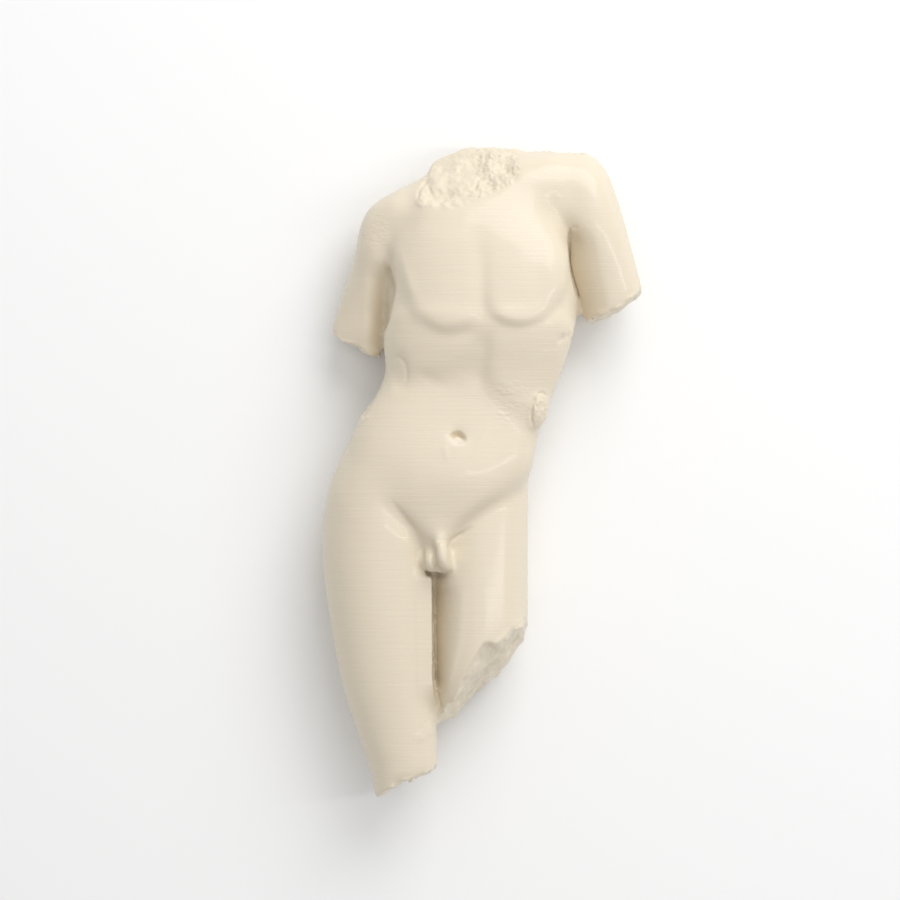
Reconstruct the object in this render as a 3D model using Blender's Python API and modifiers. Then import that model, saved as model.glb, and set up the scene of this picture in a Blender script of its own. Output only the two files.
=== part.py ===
"""A male torso: a small ivory plastic copy of a broken marble figure, lying on its back.

Frame: metres. +Z is up and is the figure's front, +Y runs towards its neck, and +X is its left side.
The origin is under the middle of the figure, on the surface that it lies on.
Apart from HEIGHT, the figure's measures are in thousandths of its height. Heights start at the lowest
tip of the stump, and depths at the surface that it lies on.
"""

import math

import bmesh
import bpy
import numpy as np
from mathutils import Matrix, Vector, noise

HEIGHT = 0.200
PART = HEIGHT / 1000
SCULPT_VOXEL = 3.4
CARVED_TRIANGLES = 9300
REST_DEPTH = 2.5

IVORY = (0.815, 0.730, 0.605, 1.0)
FRONT, BACK, ROUND = 1, -1, 0

# Sections of each mass along the body:
# height, right side, left side, depth of the widest line, depth of the front, depth of the back.
TRUNK = (
    (960, -62, 58, 88, 140, 46),
    (935, -96, 88, 90, 163, 32),
    (905, -122, 112, 93, 178, 24),
    (872, -136, 126, 95, 187, 18),
    (834, -143, 134, 98, 192, 8),
    (787, -146, 143, 100, 195, 5),
    (741, -149, 146, 102, 195, 8),
    (695, -151, 134, 105, 189, 18),
    (656, -148, 121, 106, 179, 26),
    (618, -163, 106, 106, 175, 31),
    (579, -189, 93, 106, 179, 30),
    (541, -204, 83, 106, 185, 24),
    (502, -204, 76, 105, 189, 15),
    (464, -182, 54, 105, 188, 12),
    (433, -147, 17, 105, 184, 12),
    (402, -110, -28, 105, 176, 14),
    (378, -86, -48, 106, 164, 22),
)
RIGHT_THIGH = (
    (590, -176, -120, 95, 134, 60),
    (556, -198, -88, 95, 160, 28),
    (516, -220, -72, 94, 175, 12),
    (471, -237, -69, 92, 180, 6),
    (425, -244, -69, 90, 180, 5),
    (379, -246.5, -72, 90, 179, 6),
    (317, -241, -74, 92, 177, 12),
    (240, -229, -74, 95, 173, 20),
    (163, -213, -72, 97, 167, 28),
    (102, -193, -69, 97, 161, 33),
    (40, -174, -68, 96, 156, 36),
    (-30, -163, -68, 95, 150, 38),
)
LEFT_THIGH = (
    (527, -18, 42, 98, 130, 70),
    (500, -50, 67, 96, 152, 36),
    (468, -66, 71, 94, 162, 20),
    (410, -71, 71, 92, 168, 12),
    (348, -73, 71, 92, 172, 12),
    (287, -74, 71, 95, 175, 18),
    (210, -72, 69, 102, 177, 26),
    (120, -64, 62, 106, 175, 38),
    (20, -54, 52, 108, 170, 48),
)
RIGHT_ARM = (
    (925, -152, -128, 88, 106, 72),
    (908, -173, -112, 86, 124, 50),
    (885, -186, -103, 84, 135, 34),
    (849, -194, -108, 80, 138, 26),
    (818, -200, -124, 76, 132, 22),
    (787, -211, -136, 71, 123, 20),
    (756, -221, -145, 66, 114, 20),
    (718, -232.5, -151, 62, 105, 20),
    (640, -254, -160, 56, 92, 18),
)
LEFT_ARM = (
    (990, 130, 166, 92, 108, 76),
    (977, 115, 182, 92, 130, 56),
    (955, 108, 196, 92, 147, 40),
    (926, 109, 207, 92, 155, 32),
    (887, 118, 219, 92, 156, 30),
    (849, 131, 229.5, 91, 152, 32),
    (810, 142, 240, 90, 146, 36),
    (772, 151, 250, 89, 140, 40),
    (690, 163, 266, 88, 134, 46),
)
NECK = (
    (860, -98, 62, 90, 150, 34),
    (907, -98, 60, 88, 160, 30),
    (934, -94, 58, 86, 168, 28),
    (957, -84, 57, 84, 172, 26),
    (975, -79, 56, 84, 174, 26),
    (1040, -68, 56, 84, 174, 26),
)
# Across the shoulders: distance to the left, underside, top, depth of the widest line, front, back.
SHOULDERS = (
    (-168, 862, 911, 92, 124, 60),
    (-134, 840, 933, 90, 148, 40),
    (-103, 826, 948, 88, 162, 28),
    (-72, 818, 960, 86, 164, 22),
    (-34, 816, 966, 85, 168, 20),
    (5, 820, 976, 85, 168, 20),
    (43, 828, 991, 85, 168, 22),
    (74, 842, 992, 86, 165, 26),
    (105, 858, 991, 88, 158, 32),
    (139, 876, 989, 90, 146, 42),
    (169, 914, 978, 92, 124, 62),
)
# The strip of marble that was left standing between the thighs.
WEB = (
    (350, -90, -60, 92, 112, 60),
    (250, -86, -58, 92, 118, 60),
    (160, -84, -52, 92, 122, 60),
    (112, -80, -60, 92, 112, 66),
)

# Where the marble broke: a point of each break and the direction that it faces.
NECK_BREAK = ((-20, 1000, 85), (-0.18, 0.70, 0.69))
NECK_TOP = ((0, 1001, 85), (0.08, 0.93, -0.36))
NECK_SIDE = ((-42, 996, 85), (-0.38, 0.87, -0.3))
RIGHT_ARM_BREAK = ((-195, 695, 62), (-0.44, -0.89, -0.08))
LEFT_ARM_BREAK = ((207, 749, 88), (0.55, -0.83, 0.08))
RIGHT_STUMP = ((-120, 18, 95), (0.36, -0.93, 0.05))
LEFT_STUMP = ((2, 184, 100), (0.69, -0.65, 0.23))

NECK_OUTLINE = (
    (-98, 908), (-95, 934), (-86, 956), (-80, 976), (-60, 996), (-3, 1006),
    (38, 1004), (50, 978), (48, 950), (28, 934), (-3, 923), (-42, 911), (-75, 904),
)
RIGHT_CHEST = (
    (-10, 900), (-5, 830), (-4, 765), (-14, 732), (-40, 717), (-68, 717),
    (-94, 732), (-110, 758), (-124, 796), (-142, 838), (-160, 890), (-100, 940),
)
LEFT_CHEST = (
    (0, 900), (1, 830), (3, 765), (16, 736), (44, 725), (74, 728),
    (102, 745), (117, 773), (125, 812), (136, 850), (140, 900), (80, 945),
)
# The edge of the ribs above the hollow of the waist.
RIGHT_RIBS = (
    (-6, 740), (-8, 690), (-30, 664), (-66, 650), (-106, 648), (-150, 662), (-190, 720), (-100, 760),
)
LEFT_RIBS = (
    (4, 740), (0, 690), (2, 655), (20, 624), (52, 596), (92, 570), (150, 570), (170, 680), (90, 760),
)


def through(stations, count):
    """The stations as a smooth curve, at count evenly spaced values of their first number."""
    rows = np.array(stations, float)
    rows = rows[np.argsort(rows[:, 0])]
    at, values = rows[:, 0], rows[:, 1:]
    slopes = np.gradient(values, at, axis=0)
    wanted = np.linspace(at[0], at[-1], count)
    index = np.clip(np.searchsorted(at, wanted) - 1, 0, len(at) - 2)
    gap = (at[index + 1] - at[index])[:, None]
    t = (wanted - at[index])[:, None] / gap
    start = (1 + 2 * t) * (1 - t) ** 2 * values[index] + t * (1 - t) ** 2 * gap * slopes[index]
    end = t**2 * (3 - 2 * t) * values[index + 1] + t**2 * (t - 1) * gap * slopes[index + 1]
    return np.column_stack([wanted, start + end])


def placed(name, shape):
    mesh = bpy.data.meshes.new(name)
    shape.to_mesh(mesh)
    shape.free()
    part = bpy.data.objects.new(name, mesh)
    bpy.context.scene.collection.objects.link(part)
    return part


def mass(name, stations, squareness=2.2, rings=60, sides=64, across=False):
    """A closed loft through superellipse sections, along the body or, with across, from side to side."""
    shape = bmesh.new()
    power = 2 / squareness
    rounds = []
    for along, low, high, middle, front, back in through(stations, rings):
        ring = []
        for i in range(sides):
            c, s = math.cos(math.tau * i / sides), math.sin(math.tau * i / sides)
            side = (low + high) / 2 + (high - low) / 2 * math.copysign(abs(c) ** power, c)
            reach = front - middle if s > 0 else middle - back
            depth = middle + reach * math.copysign(abs(s) ** power, s)
            x, y = (along, side) if across else (side, along)
            ring.append(shape.verts.new(Vector((x, y, depth)) * PART))
        rounds.append(ring)
    for lower, upper in zip(rounds, rounds[1:]):
        for i in range(sides):
            j = (i + 1) % sides
            shape.faces.new((lower[i], lower[j], upper[j], upper[i]))
    shape.faces.new(rounds[0])
    shape.faces.new(rounds[-1])
    bmesh.ops.recalc_face_normals(shape, faces=shape.faces)
    return placed(name, shape)


def ball(name, centre, radii, turn=0.0):
    """An ellipsoid, turned in the plane of the figure's front."""
    shape = bmesh.new()
    bmesh.ops.create_uvsphere(shape, u_segments=48, v_segments=32, radius=1)
    size = Matrix.Diagonal((*(Vector(radii) * PART), 1))
    turned = Matrix.Rotation(math.radians(turn), 4, "Z")
    matrix = Matrix.Translation(Vector(centre) * PART) @ turned @ size
    bmesh.ops.transform(shape, matrix=matrix, verts=shape.verts)
    return placed(name, shape)


def cut_off(part, point, normal):
    """Takes away what lies past a plane, and closes the cut."""
    shape = bmesh.new()
    shape.from_mesh(part.data)
    everything = shape.verts[:] + shape.edges[:] + shape.faces[:]
    cut = bmesh.ops.bisect_plane(
        shape, geom=everything, plane_co=Vector(point) * PART, plane_no=normal, clear_outer=True
    )
    edges = [e for e in cut["geom_cut"] if isinstance(e, bmesh.types.BMEdge)]
    bmesh.ops.holes_fill(shape, edges=edges)
    bmesh.ops.recalc_face_normals(shape, faces=shape.faces)
    shape.to_mesh(part.data)
    shape.free()
    return part


def fused(name, masses):
    """One skin round all the masses."""
    shape = bmesh.new()
    for part in masses:
        shape.from_mesh(part.data)
        bpy.data.objects.remove(part)
    whole = placed(name, shape)
    remesh = whole.modifiers.new("one skin", "REMESH")
    remesh.mode = "VOXEL"
    remesh.voxel_size = SCULPT_VOXEL * PART
    apply_modifiers(whole)
    return whole


def apply_modifiers(part):
    graph = bpy.context.evaluated_depsgraph_get()
    made = bpy.data.meshes.new_from_object(part.evaluated_get(graph))
    part.modifiers.clear()
    part.data = made


def eased(t):
    t = np.clip(t, 0, 1)
    return t * t * (3 - 2 * t)


class Skin:
    """The figure's surface as arrays of points, in thousandths of its height, to be carved."""

    def __init__(self, part):
        self.part = part
        mesh = part.data
        points = np.empty(len(mesh.vertices) * 3, np.float32)
        mesh.vertices.foreach_get("co", points)
        self.points = points.reshape(-1, 3).astype(float) / PART
        edges = np.empty(len(mesh.edges) * 2, np.int32)
        mesh.edges.foreach_get("vertices", edges)
        self.edges = edges.reshape(-1, 2)
        self.neighbours = np.bincount(self.edges.ravel(), minlength=len(self.points))[:, None]
        self.refresh()

    def refresh(self):
        mesh = self.part.data
        mesh.vertices.foreach_set("co", (self.points * PART).astype(np.float32).ravel())
        mesh.update()
        normals = np.empty(len(mesh.vertices) * 3, np.float32)
        mesh.vertices.foreach_get("normal", normals)
        self.normals = normals.reshape(-1, 3).astype(float)

    def smooth(self, rounds, where=1.0):
        a, b = self.edges.T
        share = 0.5 * np.broadcast_to(where, len(self.points))[:, None]
        for _ in range(rounds):
            total = np.zeros_like(self.points)
            for k in range(3):
                total[:, k] = np.bincount(a, self.points[b, k], len(total))
                total[:, k] += np.bincount(b, self.points[a, k], len(total))
            self.points += share * (total / self.neighbours - self.points)
        self.refresh()

    def swell(self, amount, side=ROUND):
        """Moves the surface out by amount, or in where it is negative, on one side or all round."""
        if side != ROUND:
            amount = amount * np.clip(self.normals[:, 2] * side * 2 + 0.1, 0, 1)
        self.points += self.normals * amount[:, None]
        self.refresh()

    def reach(self, x, h, wide, tall, turn=0.0):
        """How far each point is from an oval's centre, in its own radii."""
        c, s = math.cos(math.radians(turn)), math.sin(math.radians(turn))
        dx, dh = self.points[:, 0] - x, self.points[:, 1] - h
        return np.hypot((dx * c + dh * s) / wide, (dh * c - dx * s) / tall)

    def mound(self, x, h, wide, tall, rise, turn=0.0, side=FRONT):
        """A soft swelling, or a hollow where rise is negative."""
        self.swell(rise * np.exp(-2 * self.reach(x, h, wide, tall, turn) ** 2), side)

    def along(self, path, closed=False):
        """Each point's distance from a smooth path, and how far along the path it is, from 0 to 1."""
        knots = [(i, *knot) for i, knot in enumerate(path)]
        if closed:
            knots = [(-1, *path[-1]), *knots, (len(path), *path[0]), (len(path) + 1, *path[1])]
        line = through(knots, 10 * len(knots))
        if closed:
            line = line[(line[:, 0] >= 0) & (line[:, 0] <= len(path))]
        line = line[:, 1:]
        flat = self.points[:, :2]
        away, place = np.full(len(flat), np.inf), np.zeros(len(flat))
        inside = np.zeros(len(flat), bool)
        steps = list(zip(line, np.roll(line, -1, 0))) if closed else list(zip(line, line[1:]))
        for i, (a, b) in enumerate(steps):
            d = b - a
            t = np.clip((flat - a) @ d / max(d @ d, 1e-9), 0, 1)
            gap = np.hypot(*(flat - a - t[:, None] * d).T)
            nearer = gap < away
            away[nearer] = gap[nearer]
            place[nearer] = (i + t[nearer]) / len(steps)
            crosses = (a[1] > flat[:, 1]) != (b[1] > flat[:, 1])
            inside ^= crosses & (flat[:, 0] < a[0] + (flat[:, 1] - a[1]) * d[0] / (d[1] or 1e-9))
        return np.where(inside, -away, away) if closed else away, place

    def groove(self, path, width, depth, side=FRONT, ends=0.3):
        """A valley along a path, fading out over a share of it at its two ends."""
        away, place = self.along(path)
        fade = eased(np.minimum(place, 1 - place) / ends)
        self.swell(-depth * np.exp(-((away / width) ** 2)) * fade, side)

    def plate(self, outline, edge, rise, top, bottom, side=FRONT):
        """A flat muscle with a defined edge, rising from nothing at its top to its full height."""
        away, _ = self.along(outline, closed=True)
        self.swell(rise * eased(0.5 - away / edge) * eased((top - self.points[:, 1]) / (top - bottom)), side)

    def level(self, outline, point, normal, edge):
        """Brings the front inside an outline to a plane, with a step as wide as edge round it."""
        away, _ = self.along(outline, closed=True)
        out = np.array(normal)
        lift = -((self.points - np.array(point)) @ out) / out[2]
        inside = eased(0.5 - away / edge) * eased(self.normals[:, 2] * 4)
        self.points[:, 2] += np.clip(lift, -40, 40) * inside
        self.refresh()
        return inside

    def roughen(self, where, amount, size, seed):
        """Broken stone: lumps of a size, and half as high ones of half that size."""
        for i in np.flatnonzero(where > 0.01):
            spot = Vector(self.points[i]) / size + Vector((seed, seed, seed))
            lump = noise.noise(spot) + 0.5 * noise.noise(spot * 2.1)
            self.points[i] += self.normals[i] * lump * amount * where[i]
        self.refresh()

    def on_break(self, point, normal, depth=7.0):
        """1 on a break, fading to 0 within a depth of its plane."""
        out = Vector(normal).normalized()
        gap = np.abs((self.points - np.array(point)) @ np.array(out))
        facing = eased((self.normals @ np.array(out) - 0.45) / 0.4)
        return eased(1.5 - gap / depth) * facing


def carve_front(skin):
    """The muscles of the chest and belly, and the folds between belly and thighs."""
    skin.plate(RIGHT_RIBS, 38, 5, 760, 740)
    skin.plate(LEFT_RIBS, 38, 8, 760, 740)
    skin.plate(RIGHT_CHEST, 20, 8, 920, 740)
    skin.plate(LEFT_CHEST, 20, 9, 920, 740)
    skin.groove(((-6, 900), (-4, 850), (-1, 790), (1, 730)), 12, 1.5)
    skin.mound(112, 898, 34, 22, -9, turn=-50)
    skin.mound(-118, 880, 30, 24, -4, turn=50)
    skin.mound(-112, 926, 22, 32, -8, turn=-20)
    skin.groove(((5, 722), (4, 690), (-1, 650), (-12, 618)), 9, 4)
    skin.mound(-84, 636, 48, 26, -3)
    skin.mound(-46, 500, 90, 70, 6)
    skin.mound(62, 520, 28, 44, 3)
    skin.groove(((-168, 472), (-146, 448), (-124, 424), (-98, 398), (-80, 376)), 8, 7, ends=0.6)
    skin.groove(((84, 497), (43, 468), (12, 446), (-18, 423), (-44, 402), (-66, 376)), 10, 6, ends=0.5)
    skin.mound(-66, 408, 26, 20, 4)
    skin.groove(((136, 880), (140, 850), (145, 810), (149, 772)), 6, 9, ends=0.3)
    skin.groove(((-146, 820), (-141, 800), (-143, 770), (-150, 735), (-153, 700)), 6, 7, ends=0.4)
    skin.groove(((-50, 556), (-43, 560), (-34, 558), (-27, 549)), 6, 9, ends=0.4)
    skin.mound(-42, 541, 12, 12, 2.5)


def carve_back(skin):
    """Shoulder blades, spine, buttocks and the folds under them, plainer than the front."""
    skin.mound(-78, 800, 50, 62, 7.6, turn=12, side=BACK)
    skin.mound(76, 812, 50, 62, 7.8, turn=-12, side=BACK)
    spine = ((-12, 930), (-6, 870), (-2, 790), (-8, 700), (-28, 620), (-56, 545), (-66, 475))
    skin.groove(spine, 15, 11, side=BACK)
    skin.mound(-54, 650, 30, 70, 5, turn=-12, side=BACK)
    skin.mound(14, 650, 30, 70, 5, turn=-12, side=BACK)
    skin.groove(((-66, 470), (-71, 430), (-74, 380), (-74, 330)), 12, 26, side=BACK)
    skin.groove(((-80, 316), (-118, 300), (-165, 304), (-205, 325)), 12, 9, side=BACK)
    skin.groove(((-66, 300), (-36, 284), (0, 286), (34, 304)), 12, 9, side=BACK)
    skin.mound(-205, 430, 30, 44, -6, side=BACK)
    skin.mound(50, 410, 26, 40, -6, side=BACK)
    skin.groove(((-150, 270), (-146, 190), (-138, 110)), 22, 5, side=BACK)


def carve_struts(skin):
    """What is left of the struts that held the lost hands, on the flanks and the hip."""
    skin.swell(6 * eased(3 - 2.5 * skin.reach(86, 594, 13, 27, -14)), FRONT)
    skin.swell(-3 * eased(3.5 - 3 * skin.reach(-126, 653, 14, 30, 4)), FRONT)
    front = eased(skin.normals[:, 2] * 2 + 0.8)
    skin.roughen(front * eased(2 - 1.4 * skin.reach(86, 594, 14, 28, -14)), 4, 13, 3.0)
    skin.roughen(front * eased(2 - 1.4 * skin.reach(-184, 590, 13, 24, -20)), 4, 12, 5.0)


def carve_breaks(skin):
    """Fresh marble where the neck, the arms and the legs broke away."""
    neck = skin.level(NECK_OUTLINE, *NECK_BREAK, edge=9)
    neck = np.maximum(neck, skin.on_break(*NECK_TOP, depth=10) * eased(4 - 3 * skin.reach(-14, 1000, 80, 40)))
    skin.roughen(neck, 8, 26, 1.0)
    lip = skin.on_break(*RIGHT_STUMP) * np.exp(-2 * skin.reach(-156, 8, 24, 30) ** 2)
    skin.swell(10 * lip)
    for i, place in enumerate((RIGHT_ARM_BREAK, LEFT_ARM_BREAK, RIGHT_STUMP, LEFT_STUMP)):
        skin.roughen(skin.on_break(*place), 6, 30, 7.0 + i)


def masses():
    """The figure as simple closed masses, with the limbs already broken off."""
    neck = cut_off(mass("neck", NECK), *NECK_BREAK)
    parts = [
        mass("trunk", TRUNK, squareness=3.0),
        mass("shoulders", SHOULDERS, across=True),
        cut_off(cut_off(neck, *NECK_TOP), *NECK_SIDE),
        cut_off(mass("right_arm", RIGHT_ARM), *RIGHT_ARM_BREAK),
        cut_off(mass("left_arm", LEFT_ARM), *LEFT_ARM_BREAK),
        cut_off(mass("right_thigh", RIGHT_THIGH), *RIGHT_STUMP),
        cut_off(mass("left_thigh", LEFT_THIGH), *LEFT_STUMP),
        mass("web", WEB),
        ball("bridge", (151, 763, 84), (15, 20, 16)),
        ball("right_buttock", (-150, 398, 68), (86, 96, 66)),
        ball("left_buttock", (-12, 380, 68), (76, 92, 66)),
        ball("pubis", (-68, 410, 146), (34, 40, 30)),
        ball("penis", (-61, 376, 178), (11, 28, 15), turn=12),
        ball("right_testicle", (-80, 364, 158), (13, 20, 24)),
        ball("left_testicle", (-55, 363, 158), (14, 20, 24)),
        ball("scrotum", (-67, 365, 154), (18, 20, 22)),
    ]
    return parts


def faceted(body):
    """Fewer, larger triangles where the surface is smooth."""
    triangles = sum(len(face.vertices) - 2 for face in body.data.polygons)
    fewer = body.modifiers.new("fewer triangles", "DECIMATE")
    fewer.ratio = CARVED_TRIANGLES / triangles
    apply_modifiers(body)
    shape = bmesh.new()
    shape.from_mesh(body.data)
    bmesh.ops.triangulate(shape, faces=shape.faces)
    shape.to_mesh(body.data)
    shape.free()


def laid_down(body):
    """Flats where the shoulder blades and buttocks rest, and the origin under the figure's middle."""
    points = np.array([v.co for v in body.data.vertices])
    rest = points[:, 2].min() + REST_DEPTH * PART
    cut_off(body, (0, 0, rest / PART), (0, 0, -1))
    points = np.array([v.co for v in body.data.vertices])
    middle = (points.min(0) + points.max(0)) / 2
    body.data.transform(Matrix.Translation((-middle[0], -middle[1], -rest)))


def plastic():
    material = bpy.data.materials.new("ivory plastic")
    material.use_nodes = True
    shader = material.node_tree.nodes["Principled BSDF"]
    shader.inputs["Base Color"].default_value = IVORY
    shader.inputs["Roughness"].default_value = 0.45
    shader.inputs["Metallic"].default_value = 0.0
    return material


def clear_scene():
    for thing in list(bpy.data.objects):
        bpy.data.objects.remove(thing)


def main():
    clear_scene()
    body = fused("torso", masses())
    skin = Skin(body)
    loins = eased(skin.reach(-66, 368, 34, 38) * 2 - 1.4)
    skin.smooth(9, 0.15 + 0.85 * loins)
    skin.smooth(160, eased(3 - 2.5 * skin.reach(-4, 905, 125, 46)))
    skin.smooth(40, eased(3 - 2.5 * skin.reach(128, 925, 40, 50)))
    skin.smooth(40, eased(3 - 2.5 * skin.reach(-135, 885, 40, 44)))
    skin.smooth(90, eased(3 - 2.5 * skin.reach(-168, 510, 52, 80)) * eased(skin.normals[:, 2] * 2))
    carve_front(skin)
    carve_back(skin)
    skin.smooth(3, 0.15 + 0.85 * loins)
    carve_struts(skin)
    carve_breaks(skin)
    faceted(body)
    laid_down(body)
    body.data.materials.append(plastic())
    body.data.shade_smooth()
    body.data.set_sharp_from_angle(angle=math.radians(50))
    figure = bpy.data.collections.new("ivory torso")
    bpy.context.scene.collection.children.link(figure)
    figure.objects.link(body)
    bpy.context.scene.collection.objects.unlink(body)
    return body


if __name__ == "__main__":
    main()
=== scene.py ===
import math

import bpy
import numpy as np
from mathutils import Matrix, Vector, noise


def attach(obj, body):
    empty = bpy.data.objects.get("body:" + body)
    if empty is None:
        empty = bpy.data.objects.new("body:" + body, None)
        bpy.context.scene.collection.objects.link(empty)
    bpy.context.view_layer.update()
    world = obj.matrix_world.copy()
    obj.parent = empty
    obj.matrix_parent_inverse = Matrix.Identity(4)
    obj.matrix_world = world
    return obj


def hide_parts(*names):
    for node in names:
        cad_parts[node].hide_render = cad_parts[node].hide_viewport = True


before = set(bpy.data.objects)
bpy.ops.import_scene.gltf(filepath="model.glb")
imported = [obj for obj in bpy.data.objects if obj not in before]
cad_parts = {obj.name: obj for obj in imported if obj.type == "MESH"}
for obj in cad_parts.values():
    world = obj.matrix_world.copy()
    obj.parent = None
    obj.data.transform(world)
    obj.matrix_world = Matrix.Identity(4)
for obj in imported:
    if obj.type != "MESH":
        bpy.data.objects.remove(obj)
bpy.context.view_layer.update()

# The torso
# A copy of a broken marble figure in ivory PLA plastic, printed in one piece, the layers laid across
# the body from the stump up to the neck. Nothing is fixed to it: it lies loose on its back.

# It starts as the solid's own form, with its facets smoothed away. Lengths and places are in
# millimetres, with z up from the table; a path or an outline is given as it is seen from the front.
FINEST_FORM = 0.42
MOST_TRIANGLES = 194000

bpy.ops.object.select_all(action="DESELECT")
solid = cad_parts["torso"]
solid.select_set(True)
bpy.context.view_layer.objects.active = solid
bpy.ops.object.duplicate()
torso = bpy.context.active_object
torso.name = "torso_print"
torso.parent = None
torso.data.materials.clear()
for key in [k for k in torso.keys() if k.startswith("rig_")]:
    del torso[key]
bpy.ops.object.mode_set(mode="EDIT")
bpy.ops.mesh.select_all(action="SELECT")
bpy.ops.mesh.remove_doubles(threshold=0.000001)
bpy.ops.object.mode_set(mode="OBJECT")
even = torso.modifiers.new("even skin", "REMESH")
even.mode = "VOXEL"
even.voxel_size = FINEST_FORM / 1000
bpy.ops.object.modifier_apply(modifier="even skin")


def corners(mesh):
    """The mesh's points in millimetres."""
    flat = np.empty(len(mesh.vertices) * 3, np.float32)
    mesh.vertices.foreach_get("co", flat)
    return flat.reshape(-1, 3).astype(float) * 1000


def eased(t):
    """A soft step from 0 to 1 as t goes from 0 to 1."""
    t = np.clip(t, 0, 1)
    return t * t * (3 - 2 * t)


points = corners(torso.data)
ends = np.empty(len(torso.data.edges) * 2, np.int32)
torso.data.edges.foreach_get("vertices", ends)
ends = ends.reshape(-1, 2)
joined = np.bincount(ends.ravel(), minlength=len(points))[:, None]


def facing():
    """Which way the skin faces at each point, once the points have moved."""
    torso.data.vertices.foreach_set("co", (points / 1000).astype(np.float32).ravel())
    torso.data.update()
    flat = np.empty(len(points) * 3, np.float32)
    torso.data.vertices.foreach_get("normal", flat)
    return flat.reshape(-1, 3).astype(float)


def smoothed(rounds, share=1.0):
    """Evens the skin out, by a share at each point."""
    global points
    share = 0.5 * np.broadcast_to(share, len(points))[:, None]
    for _ in range(rounds):
        total = np.zeros_like(points)
        for k in range(3):
            total[:, k] = np.bincount(ends[:, 0], points[ends[:, 1], k], len(total))
            total[:, k] += np.bincount(ends[:, 1], points[ends[:, 0], k], len(total))
        points = points + share * (total / joined - points)


def curve(path, steps=8):
    """A smooth line through a few points."""
    knots = np.array(path, float)
    knots = np.vstack([2 * knots[0] - knots[1], knots, 2 * knots[-1] - knots[-2]])
    line = []
    for a, b, c, d in zip(knots, knots[1:], knots[2:], knots[3:]):
        for t in np.linspace(0, 1, steps, endpoint=False):
            line.append(0.5 * (2 * b + (c - a) * t + (2 * a - 5 * b + 4 * c - d) * t**2
                               + (3 * b - a - 3 * c + d) * t**3))
    return np.array([*line, knots[-2]])


def nearest(line):
    """How far each point is from a line, and how far along the line, from 0 to 1."""
    flat = points[:, :2]
    away, place = np.full(len(flat), 1e9), np.zeros(len(flat))
    for i, (a, b) in enumerate(zip(line, line[1:])):
        d = b - a
        t = np.clip((flat - a) @ d / (d @ d), 0, 1)
        gap = flat - a - t[:, None] * d
        far = np.hypot(gap[:, 0], gap[:, 1])
        near = far < away
        away[near] = far[near]
        place[near] = (i + t[near]) / (len(line) - 1)
    return away, place


def stroke(path, width, rise, fade=0.3):
    """A ridge, or a valley where rise is negative, along a path on the front."""
    global points
    away, place = nearest(curve(path))
    strength = np.exp(-((away / width) ** 2)) * eased(np.minimum(place, 1 - place) / fade)
    out = facing()
    points = points + out * (rise * strength * eased(out[:, 2] * 3 + 0.5))[:, None]


def swell(x, y, wide, tall, rise, turn=0.0):
    """A soft mound on the front, or a hollow where rise is negative."""
    global points
    c, s = math.cos(math.radians(turn)), math.sin(math.radians(turn))
    dx, dy = points[:, 0] - x, points[:, 1] - y
    near = np.exp(-2 * (((dx * c + dy * s) / wide) ** 2 + ((dy * c - dx * s) / tall) ** 2))
    out = facing()
    points = points + out * (rise * near * eased(out[:, 2] * 3 + 0.5))[:, None]


# Where the marble broke: a point of each break and the way that it faces, and the outline of the
# part of the neck's break that shows on the front.
NECK_TOP = ((-0.1, 100.7, 16.2), (0.08, 0.93, -0.36))
RIGHT_ARM_END = ((-39.1, 39.5, 11.6), (-0.44, -0.89, -0.08))
LEFT_ARM_END = ((41.3, 50.3, 16.8), (0.55, -0.83, 0.08))
RIGHT_STUMP = ((-24.1, -95.9, 18.2), (0.36, -0.93, 0.05))
LEFT_STUMP = ((0.3, -62.7, 19.2), (0.69, -0.65, 0.23))
NECK_OUTLINE = ((-15.8, 95.2), (-10.0, 97.9), (-0.8, 100.4), (6.9, 100.0), (10.5, 97.1), (10.5, 91.1),
                (7.7, 88.2), (3.1, 85.8), (-1.4, 83.9), (-6.3, 81.4), (-10.6, 80.8), (-16.1, 81.4),
                (-20.0, 82.1), (-19.7, 87.1), (-17.9, 90.8))


def on_break(place, facing_way, depth=1.6):
    """1 on a break, fading to 0 within a depth of its plane."""
    way = np.array(facing_way) / np.linalg.norm(facing_way)
    gap = np.abs((points - np.array(place)) @ way)
    return eased(1.5 - gap / depth) * eased((facing() @ way - 0.4) / 0.4)


def within(outline, edge):
    """1 inside an outline on the front, fading to 0 over an edge."""
    line = curve((*outline, outline[0]), 5)
    away, _ = nearest(line)
    inside = np.zeros(len(points), bool)
    for a, b in zip(line, line[1:]):
        crosses = (a[1] > points[:, 1]) != (b[1] > points[:, 1])
        crossing_x = a[0] + (points[:, 1] - a[1]) * (b[0] - a[0]) / ((b[1] - a[1]) or 1e-9)
        inside ^= crosses & (points[:, 0] < crossing_x)
    return eased(0.5 + np.where(inside, away, -away) / edge) * eased(facing()[:, 2] * 4)


def roughened(where, sizes, seed):
    """Broken stone in the copy: lumps of several sizes, each with its height beside it."""
    global points
    out = facing()
    for i in np.flatnonzero(where > 0.02):
        spot, lump = Vector(points[i]) + Vector((seed, seed, seed)), 0.0
        for size, height in sizes:
            lump += height * noise.noise(spot / size)
        points[i] += out[i] * lump * where[i]


def pull(x, y, wide, dx, dy):
    """Draws the skin near a place along, as seen from the front."""
    near = np.exp(-((np.hypot(points[:, 0] - x, points[:, 1] - y) / wide) ** 2))
    points[:, 0] += dx * near
    points[:, 1] += dy * near


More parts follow.
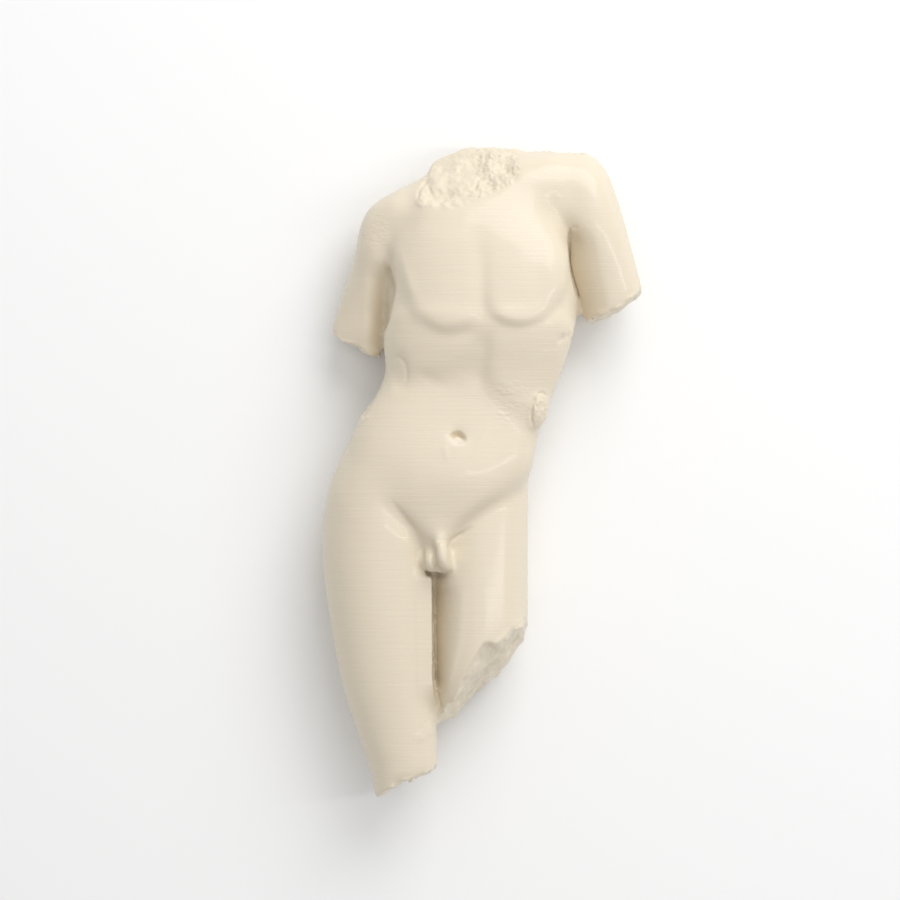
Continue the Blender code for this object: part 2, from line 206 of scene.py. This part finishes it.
def chiselled(x, y, facing_way, middle, wide):
    """A flat facet whose rim passes a place on the front, reaching as far as a width round its middle."""
    way = np.array(facing_way) / np.linalg.norm(facing_way)
    rim = points[np.hypot(points[:, 0] - x, points[:, 1] - y) < 0.7, 2].max()
    past = np.clip((points - np.array((x, y, rim))) @ way, 0, None)
    reach = np.hypot(points[:, 0] - middle[0], points[:, 1] - middle[1])
    points[:] -= way * (past * eased((wide - reach) / 2.5))[:, None]


def laid(crease, rim, drop, bend=2.0, fade=(0.12, 0.12), cut=True):
    """Lays the front between two lines as a curved slope, from the skin at the rim to a drop below it
    at the crease. Both lines run down the body. A break is lowered with it, but never raised. Without
    cut, the slope only fills."""
    rim_line = curve(rim)
    skin = points[(facing()[:, 2] > 0.3) & (all_limbs < 0.3) & (points[:, 2] > 18)]
    heights = []
    for x, y in rim_line:
        near = skin[np.hypot(skin[:, 0] - x, skin[:, 1] - y) < 0.8, 2]
        heights.append(near.mean() if len(near) else heights[-1])
    along = points[:, 1]
    crease_x, rim_x = (np.interp(-along, -line[:, 1], line[:, 0])
                       for line in (curve(crease), rim_line))
    t = (points[:, 0] - crease_x) / (rim_x - crease_x)
    height = np.interp(-along, -rim_line[:, 1], np.array(heights)) - drop * np.abs(1 - t) ** bend
    place = (rim_line[0, 1] - along) / (rim_line[0, 1] - rim_line[-1, 1])
    share = (t >= 0) * eased((1 - t) / 0.35) * eased(place / fade[0]) * eased((1 - place) / fade[1])
    change = (height - points[:, 2]) * share
    front = facing()[:, 2] > 0.02
    points[:, 2] += np.clip(change, 0, None) * (1 - all_limbs) * front
    if cut:
        points[:, 2] += np.clip(change, None, 0) * np.maximum(front, all_limbs)


def patch(x, y, wide, tall, above):
    """1 on an oval of the front, above a height, fading to 0 outside it."""
    far = np.hypot((points[:, 0] - x) / wide, (points[:, 1] - y) / tall)
    return eased(2 - 1.5 * far) * (points[:, 2] > above)


# Before the carving: the right stump's end and a few edges are drawn to their outline, and the skin
# is smoothed all over, except on the breaks. It stays on the table where the solid rests on it.
RESTING_UNDER = 0.05
STUMP_SHORTENED = 1.2
FRONT_OVER = 26
resting = points[:, 2] < RESTING_UNDER
points[:, 1] += STUMP_SHORTENED * eased((-84 - points[:, 1]) / 9)
pull(33.5, 44.8, 3.4, 0.2, 1.7)
pull(4.8, 98.8, 2.5, 0.0, 0.8)
pull(25.6, 66.0, 5.0, 0.8, 0.0)
pull(26.8, 57.0, 5.0, 0.8, 0.0)
neck_break = np.maximum(within(NECK_OUTLINE, 1.2), on_break(*NECK_TOP) * eased(points[:, 1] - 90))
limb_breaks = [on_break(*end) for end in (RIGHT_ARM_END, LEFT_ARM_END, RIGHT_STUMP, LEFT_STUMP)]
all_limbs = np.max(limb_breaks, axis=0)
loins = np.exp(-((np.hypot((points[:, 0] + 13) / 7, (points[:, 1] + 26) / 6)) ** 4))
loins = loins * eased(points[:, 2] - FRONT_OVER)
navel = np.exp(-((np.hypot(points[:, 0] + 7.5, points[:, 1] - 10.5) / 4.5) ** 4))
navel = navel * eased(points[:, 2] - FRONT_OVER)
smoothed(46, 1 - 0.95 * all_limbs - 0.8 * loins * (1 - all_limbs))
smoothed(60, np.maximum(navel, patch(-12.4, -18.2, 2.8, 2.4, above=FRONT_OVER)))
smoothed(90, patch(19, 78, 11, 9, above=22))
smoothed(60, patch(-20.8, 86, 3, 6, above=16))
smoothed(60, patch(8, 2, 11, 8, above=24))
points[resting, 2] = 0

# Armpits: a deep crease where each arm meets the chest, and the arm's skin sloping into it. Then the
# chest and the shoulder beside the left one are filled a little.
LEFT_ARMPIT = ((27.0, 76.0), (26.6, 72.0), (26.6, 66.0), (27.2, 61.7), (28.4, 57.4), (29.7, 53.0),
               (30.6, 49.5), (32.0, 43.5))
LEFT_ARM_MIDDLE = ((35.0, 76.0), (37.0, 68.0), (38.6, 60.0), (40.0, 54.0), (40.4, 50.0), (40.8, 43.5))
laid(LEFT_ARMPIT, LEFT_ARM_MIDDLE, 8.5, fade=(0.25, 0.01))
stroke(LEFT_ARMPIT[:6], 0.5, -0.8, fade=0.1)
stroke(((27.0, 75.2), (28.4, 75.4), (30.0, 75.2)), 0.45, -0.5, fade=0.5)
RIGHT_ARMPIT = ((-29.8, 65.0), (-28.6, 60.2), (-27.7, 56.4), (-28.6, 52.0), (-29.5, 47.4), (-30.9, 42.4))
RIGHT_ARM_INSIDE_DROP = 2.6
RIGHT_ARM_TILT = 0.32
armpit_x = np.interp(-points[:, 1], [-y for x, y in RIGHT_ARMPIT], [x for x, y in RIGHT_ARMPIT])
arm_inside = (eased((points[:, 0] + 36.5) / 6.5) * (points[:, 0] < armpit_x - 0.2)
              * eased((66 - points[:, 1]) / 8))
points[:, 2] -= (RIGHT_ARM_INSIDE_DROP * arm_inside * eased((points[:, 1] - 36) / 4)
                 * eased((points[:, 2] - 8) / 12))
stroke(RIGHT_ARMPIT, 0.6, -2.6, fade=0.2)
arm = (eased((70 - points[:, 1]) / 10) * eased((points[:, 1] - 36) / 4)
       * eased((points[:, 2] - 10) / 14))
points[:, 2] -= RIGHT_ARM_TILT * np.clip(-32 - points[:, 0], 0, None) * arm
swell(25.5, 79.0, 6.0, 6.0, 1.0)
swell(22.0, 64.0, 6.0, 13.0, 1.2)
swell(22.0, 95.0, 9.0, 5.0, 0.8)

# Chest: the creases under the breast muscles, and the right one's outer edge.
swell(15.0, 49.0, 11.0, 4.2, -0.7)
stroke(((-20.6, 51.6), (-17.9, 46.3), (-14.2, 43.3), (-9.4, 42.2), (-3.9, 42.9), (-0.2, 46.4)),
       1.8, -0.25, fade=0.25)
stroke(((0.8, 51.9), (3.2, 47.2), (7.7, 44.7), (13.8, 44.7), (19.6, 47.3), (23.6, 51.9), (25.2, 57.7)),
       1.5, -0.25, fade=0.25)
stroke(((-27.6, 73.5), (-24.2, 64.4), (-21.8, 56.5), (-18.8, 50.7)), 1.4, 0.25, fade=0.4)

# Belly: a soft ridge down its left, a faint hollow under the right ribs, the navel with its hooded
# upper edge, and a slight ridge below that.
stroke(((3.4, 18.5), (-0.5, 10.2), (-6.1, -1.2)), 1.0, 0.2, fade=0.45)
swell(-16.8, 29.3, 6.5, 2.6, -0.2, turn=-28)
swell(-7.6, 9.9, 2.0, 1.3, -0.35)
stroke(((-9.9, 10.6), (-8.9, 11.7), (-7.6, 12.1), (-6.3, 11.2), (-5.3, 9.1)), 0.55, -2.2, fade=0.3)
stroke(((-11.4, 9.2), (-11.3, 6.4), (-10.6, 3.4)), 0.8, 0.2, fade=0.4)

# Groin: the ends of its creases, the inside of the right thigh filled out, and the genitals, with
# their creases.
stroke(((-29.5, -6.3), (-25.2, -11.8), (-21.6, -16.4), (-17.9, -20.6)), 0.9, -0.5, fade=0.5)
stroke(((-10.4, -21.6), (-8.5, -19.9), (-5.6, -18.0), (-2.5, -16.0)), 0.5, -0.8, fade=0.4)
pull(-7.6, -26.0, 3.0, -1.1, 0.0)
RIGHT_THIGH_INSIDE = ((-18.4, -20.0), (-18.4, -27.0), (-17.0, -31.0), (-15.3, -33.0), (-15.2, -50.0),
                      (-15.0, -64.0), (-14.0, -73.0))
RIGHT_THIGH_MIDDLE = ((-22.5, -20.0), (-22.5, -40.0), (-22.0, -60.0), (-21.0, -73.0))
laid(RIGHT_THIGH_INSIDE, RIGHT_THIGH_MIDDLE, 2.4, bend=1.1, fade=(0.16, 0.16), cut=False)
swell(-12.6, -25.6, 2.4, 4.6, 0.5, turn=8)
stroke(((-18.0, -22.6), (-18.4, -25.6), (-17.9, -28.4), (-16.5, -30.6), (-13.5, -31.3), (-10.5, -30.8),
        (-8.9, -29.2)), 0.45, -0.6, fade=0.15)
stroke(((-14.9, -21.6), (-14.9, -25.4), (-14.2, -28.4), (-13.0, -30.0)), 0.6, -1.1, fade=0.25)
stroke(((-15.0, -20.8), (-12.8, -20.4), (-10.4, -21.0)), 0.5, -0.5, fade=0.5)

# Between the thighs: the left thigh slopes down to a narrow crease beside the web that was left
# standing in the marble.
THIGH_CREASE = ((-14.7, -33.0), (-14.6, -50.0), (-14.4, -60.0), (-13.8, -67.0))
LEFT_THIGH_RIM = ((-3.0, -33.0), (-4.0, -48.0), (-6.5, -58.0), (-9.8, -67.0))
laid(THIGH_CREASE, LEFT_THIGH_RIM, 13.0, bend=2.2, fade=(0.14, 0.1))
stroke(((-14.9, -31.0), (-14.7, -50.0), (-14.5, -64.0), (-13.6, -69.6), (-12.7, -72.2)),
       0.5, -0.9, fade=0.06)
smoothed(2, 1 - all_limbs)

# Breaks and chips: flat facets on the left thigh's break, rough faces, and the neck's sharp lip; then
# the broken strut on the left flank, the chip on the right hip and the oval mark on the right flank.
chiselled(-5.1, -60.2, (0.71, -0.46, 0.50), middle=(-2.5, -64.0), wide=14.0)
chiselled(8.5, -49.2, (0.72, -0.62, 0.30), middle=(11.0, -51.0), wide=10.0)
right_side = eased((points[:, 0] + 6) / 6)
roughened(neck_break * (1 - 0.5 * right_side), ((6.0, 0.5), (2.4, 0.45), (1.1, 0.2)), 3.0)
roughened(neck_break * right_side, ((3.0, 0.35), (1.4, 0.36), (0.8, 0.3)), 23.0)
stroke(((-16.1, 92.5), (-17.3, 89.5), (-19.1, 87.3), (-19.7, 85.5), (-20.0, 80.8)), 0.45, -0.45, fade=0.3)
stroke(((-17.0, 89.1), (-15.8, 85.8), (-14.2, 83.2)), 0.5, -0.4, fade=0.4)
stroke(((-1.1, 90.6), (-2.0, 87.8), (-2.9, 86.2)), 0.4, -0.7, fade=0.3)
for k, broken in enumerate(limb_breaks):
    roughened(broken, ((9.0, 1.0), (3.5, 0.5), (1.3, 0.22)), 11.0 + 5 * k)
flank = np.hypot((points[:, 0] - 17.8) / 2.6, (points[:, 1] - 18.8) / 4.8)
roughened(eased(2.2 - 2 * flank) * eased(facing()[:, 2] * 2), ((2.0, 0.4), (0.9, 0.3)), 31.0)
stroke(((16.5, 23.8), (15.3, 21.0), (14.9, 17.6), (15.4, 13.6)), 0.45, -0.7, fade=0.2)
stroke(((16.5, 23.8), (18.2, 24.6), (19.8, 23.2)), 0.4, -0.4, fade=0.3)
hip = np.hypot((points[:, 0] + 36.5) / 2.4, (points[:, 1] - 19.0) / 4.2)
roughened(eased(2.2 - 2 * hip) * eased(facing()[:, 2] * 2 + 0.8), ((2.4, 0.45), (1.0, 0.3)), 37.0)
stroke(((-28.0, 33.4), (-26.2, 35.6), (-24.1, 34.1), (-23.1, 30.4), (-24.1, 26.1)), 0.5, -0.3, fade=0.25)

# The nub of a snapped-off print support, under the front rim of the right stump.
NUB_LENGTH = 1.6
nub = np.hypot((points[:, 0] + 22.0) / 0.7, (points[:, 2] - 25.5) / 0.9)
points[:, 1] -= NUB_LENGTH * eased(1.6 - nub) * (points[:, 1] < -90)

torso.data.vertices.foreach_set("co", (points / 1000).astype(np.float32).ravel())
torso.data.update()
count = sum(len(face.vertices) - 2 for face in torso.data.polygons)
fewer = torso.modifiers.new("fewer triangles", "DECIMATE")
fewer.ratio = min(1, MOST_TRIANGLES / count)
bpy.ops.object.modifier_apply(modifier="fewer triangles")
bpy.ops.object.shade_smooth()


def linear(code):
    """An sRGB hex colour as linear red, green, blue and alpha."""
    parts = [int(code[i:i + 2], 16) / 255 for i in (1, 3, 5)]
    return (*[c / 12.92 if c <= 0.04045 else ((c + 0.055) / 1.055) ** 2.4 for c in parts], 1.0)


def node(tree, kind, settings={}, links={}):
    """Adds a node, with its settings and its inputs: an input is another node's output, or a value."""
    made = tree.nodes.new(kind)
    for name, value in settings.items():
        setattr(made, name, value)
    for name, value in links.items():
        if isinstance(value, bpy.types.NodeSocket):
            tree.links.new(value, made.inputs[name])
        else:
            made.inputs[name].default_value = value
    return made


# PLA filament, laid down in layers: a pale plastic with a soft sheen. Real layers are about 0.15 mm;
# they are drawn 0.7 mm apart, the finest that shows at this distance, as faint uneven lines across
# the body. Where the skin leans towards the neck, the layers' edges show as a fine crackle.
LAYER_MM = 0.7
LAYER_HEIGHT_MM = 0.09
UNEVEN_PER_METRE = 45
CRACKLE_MM = 1.3
CRACKLE_HEIGHT_MM = 0.22
CRACKLE_STRETCH = (0.7, 1.4, 1.0)
CRACKLED = (((-32.7, 74.5, 24), 8), ((8.0, 22.0, 32), 10))
ivory_pla = bpy.data.materials.new("ivory PLA, printed in layers")
ivory_pla.use_nodes = True
tree = ivory_pla.node_tree
shader = tree.nodes["Principled BSDF"]
here = node(tree, "ShaderNodeTexCoord")
stretched = node(tree, "ShaderNodeMapping", {}, {
    "Vector": here.outputs["Object"],
    "Scale": (UNEVEN_PER_METRE, 1000 / LAYER_MM, UNEVEN_PER_METRE)})
layers = node(tree, "ShaderNodeTexNoise", {}, {
    "Vector": stretched.outputs["Vector"], "Scale": 1.0, "Detail": 2.0, "Roughness": 0.6})
relief = node(tree, "ShaderNodeBump", {}, {
    "Height": layers.outputs["Fac"], "Distance": LAYER_HEIGHT_MM / 1000, "Strength": 1.0})
grain = node(tree, "ShaderNodeMapping", {}, {
    "Vector": here.outputs["Object"], "Scale": [k * 1000 / CRACKLE_MM for k in CRACKLE_STRETCH]})
crackle = node(tree, "ShaderNodeTexNoise", {}, {
    "Vector": grain.outputs["Vector"], "Scale": 1.0, "Detail": 1.0, "Roughness": 0.5})
amount = None
for place, wide in CRACKLED:
    away = node(tree, "ShaderNodeVectorMath", {"operation": "DISTANCE"}, {
        0: here.outputs["Object"], 1: [k / 1000 for k in place]})
    near = node(tree, "ShaderNodeMapRange", {"interpolation_type": "SMOOTHSTEP"}, {
        "Value": away.outputs["Value"], "From Min": wide / 1000, "From Max": wide / 2500,
        "To Min": 0.12, "To Max": 1.0})
    if amount:
        near = node(tree, "ShaderNodeMath", {"operation": "MAXIMUM"}, {
            0: amount.outputs[0], 1: near.outputs[0]})
    amount = near
relief = node(tree, "ShaderNodeBump", {}, {
    "Height": crackle.outputs["Fac"], "Distance": CRACKLE_HEIGHT_MM / 1000, "Strength": amount.outputs[0],
    "Normal": relief.outputs["Normal"]})
tree.links.new(relief.outputs["Normal"], shader.inputs["Normal"])
shader.inputs["Base Color"].default_value = linear("#E3D7C1")
shader.inputs["Roughness"].default_value = 0.5
shader.inputs["IOR"].default_value = 1.46
shader.inputs["Subsurface Weight"].default_value = 0.05
shader.inputs["Subsurface Radius"].default_value = (1.0, 0.75, 0.5)
shader.inputs["Subsurface Scale"].default_value = 0.0012
shader.inputs["Coat Weight"].default_value = 0.32
shader.inputs["Coat Roughness"].default_value = 0.12
torso.data.materials.append(ivory_pla)

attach(torso, "root")
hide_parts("torso")

# The table
# A plain white sheet of matt card, big enough to fill the picture. The figure lies on it loose, on
# the four small flats of its back.
SHEET_SIZE = 4.0
bpy.ops.object.select_all(action="DESELECT")
bpy.ops.mesh.primitive_plane_add(size=SHEET_SIZE, location=(0, 0, 0))
sheet = bpy.context.active_object
sheet.name = "table"
card = bpy.data.materials.new("matt white card")
card.use_nodes = True
card.node_tree.nodes["Principled BSDF"].inputs["Base Color"].default_value = linear("#FAFAFA")
card.node_tree.nodes["Principled BSDF"].inputs["Roughness"].default_value = 0.9
card.node_tree.nodes["Principled BSDF"].inputs["Specular IOR Level"].default_value = 0.1
sheet.data.materials.append(card)

# The light
# A soft white room, a big softbox high to the right, a weaker one behind the camera, and a narrow
# strip light to the right, which gives the narrow sheen along the thighs and the arm.
ROOM_STRENGTH = 0.56
room = bpy.data.worlds.new("white room")
bpy.context.scene.world = room
room.use_nodes = True
room.node_tree.nodes["Background"].inputs["Color"].default_value = (1, 1, 1, 1)
room.node_tree.nodes["Background"].inputs["Strength"].default_value = ROOM_STRENGTH


def soft_light(name, place, watts, width, height):
    """A rectangle of light that faces the figure."""
    light = bpy.data.lights.new(name, "AREA")
    light.shape = "RECTANGLE"
    light.size, light.size_y = width, height
    light.energy = watts
    stand = bpy.data.objects.new(name, light)
    stand.location = place
    stand.rotation_mode = "QUATERNION"
    stand.rotation_quaternion = (Vector((0, 0, 0.02)) - stand.location).to_track_quat("-Z", "Y")
    bpy.context.scene.collection.objects.link(stand)


soft_light("softbox", (0.332, 0.707, 0.642), 5.75, 0.7, 0.7)
soft_light("front light", (0.0, 0.1, 1.75), 1.5, 0.8, 0.8)
soft_light("strip light", (0.555, 0.02, 0.92), 1.3, 0.06, 0.9)
bpy.context.scene.view_settings.view_transform = "Standard"

# The camera
# Looks straight down on the figure's front, as far off as the picture was taken from. The middle of
# the picture falls beside the navel.
CAMERA_OVER_MIDDLE = 1.5
PICTURE_MIDDLE = (-0.00998, 0.00711, 0.0185)
PICTURE_WIDTH = 0.27735
lens = bpy.data.cameras.new("camera")
lens.sensor_width = 36
lens.lens = lens.sensor_width * CAMERA_OVER_MIDDLE / PICTURE_WIDTH
camera = bpy.data.objects.new("camera", lens)
camera.location = Vector(PICTURE_MIDDLE) + Vector((0, 0, CAMERA_OVER_MIDDLE))
bpy.context.scene.collection.objects.link(camera)
bpy.context.scene.camera = camera
